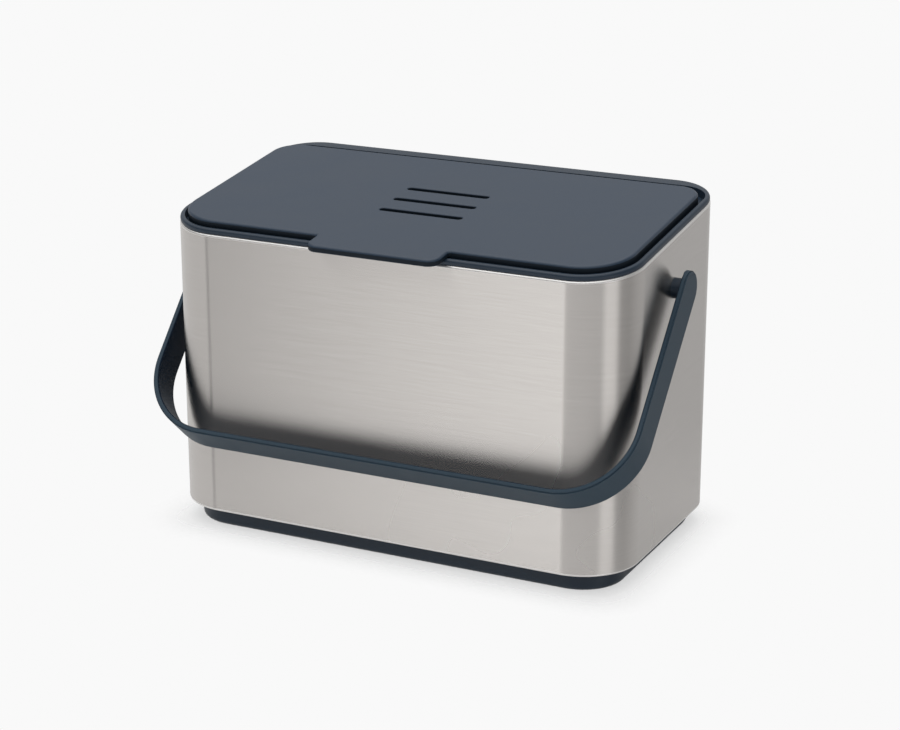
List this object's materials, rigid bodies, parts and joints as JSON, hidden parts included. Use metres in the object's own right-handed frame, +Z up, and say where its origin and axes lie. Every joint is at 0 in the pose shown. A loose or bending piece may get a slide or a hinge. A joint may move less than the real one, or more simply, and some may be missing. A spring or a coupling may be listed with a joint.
{
  "type": "compost caddy",
  "caption": "Worktop compost caddy: brushed steel shell, sloping vented lid on a rear hinge, lift-out bucket and a swinging strap handle.",
  "frame": {"origin": "centre of the flat underside of the base, on the surface it stands on", "axes": "+X to the object's own left-to-right as seen from the front, +Y towards the hinge at the back, +Z up"},
  "size_m": [0.2882, 0.1653, 0.1916],
  "materials": {
    "shell_steel": "horizontally brushed stainless steel, satin",
    "dark_plastic": "charcoal plastic, fine moulded grain",
    "lid_plastic": "slate grey plastic, satin",
    "handle_plastic": "charcoal plastic, satin",
    "bucket_plastic": "dark grey plastic, smooth",
    "pad_rubber": "soft black rubber",
    "seal_rubber": "soft grey rubber",
    "filter_fleece": "black carbon fleece",
    "pin_steel": "bright drawn steel"
  },
  "bodies": {
    "caddy_body": {"steel_shell": "shell_steel", "base_tray": "dark_plastic", "foot_front_left": "pad_rubber", "foot_front_right": "pad_rubber", "foot_rear_left": "pad_rubber", "foot_rear_right": "pad_rubber", "rim_collar": "dark_plastic", "inner_bucket": "bucket_plastic", "hinge_pin_left": "pin_steel", "hinge_pin_right": "pin_steel", "pivot_bush_left": "dark_plastic", "pivot_bush_right": "dark_plastic", "pivot_washer_left": "pin_steel", "pivot_washer_right": "pin_steel"},
    "lid": {"lid": "lid_plastic", "lid_seal": "seal_rubber", "filter_pad": "filter_fleece", "filter_cover": "lid_plastic"},
    "handle": {"handle": "handle_plastic", "pivot_pin_left": "pin_steel", "pivot_pin_right": "pin_steel", "pivot_clip_left": "pin_steel", "pivot_clip_right": "pin_steel"}
  },
  "joints": [
    {"name": "lid_hinge", "type": "hinge", "parent": "caddy_body", "child": "lid", "pos_m": [0, 0.06229, 0.1855], "axis": [-1, 0, 0], "range_deg": [0, 100]},
    {"name": "handle_pivot", "type": "hinge", "parent": "caddy_body", "child": "handle", "pos_m": [0, 0, 0.151], "axis": [-1, 0, 0], "range_deg": [0, 150]}
  ]
}
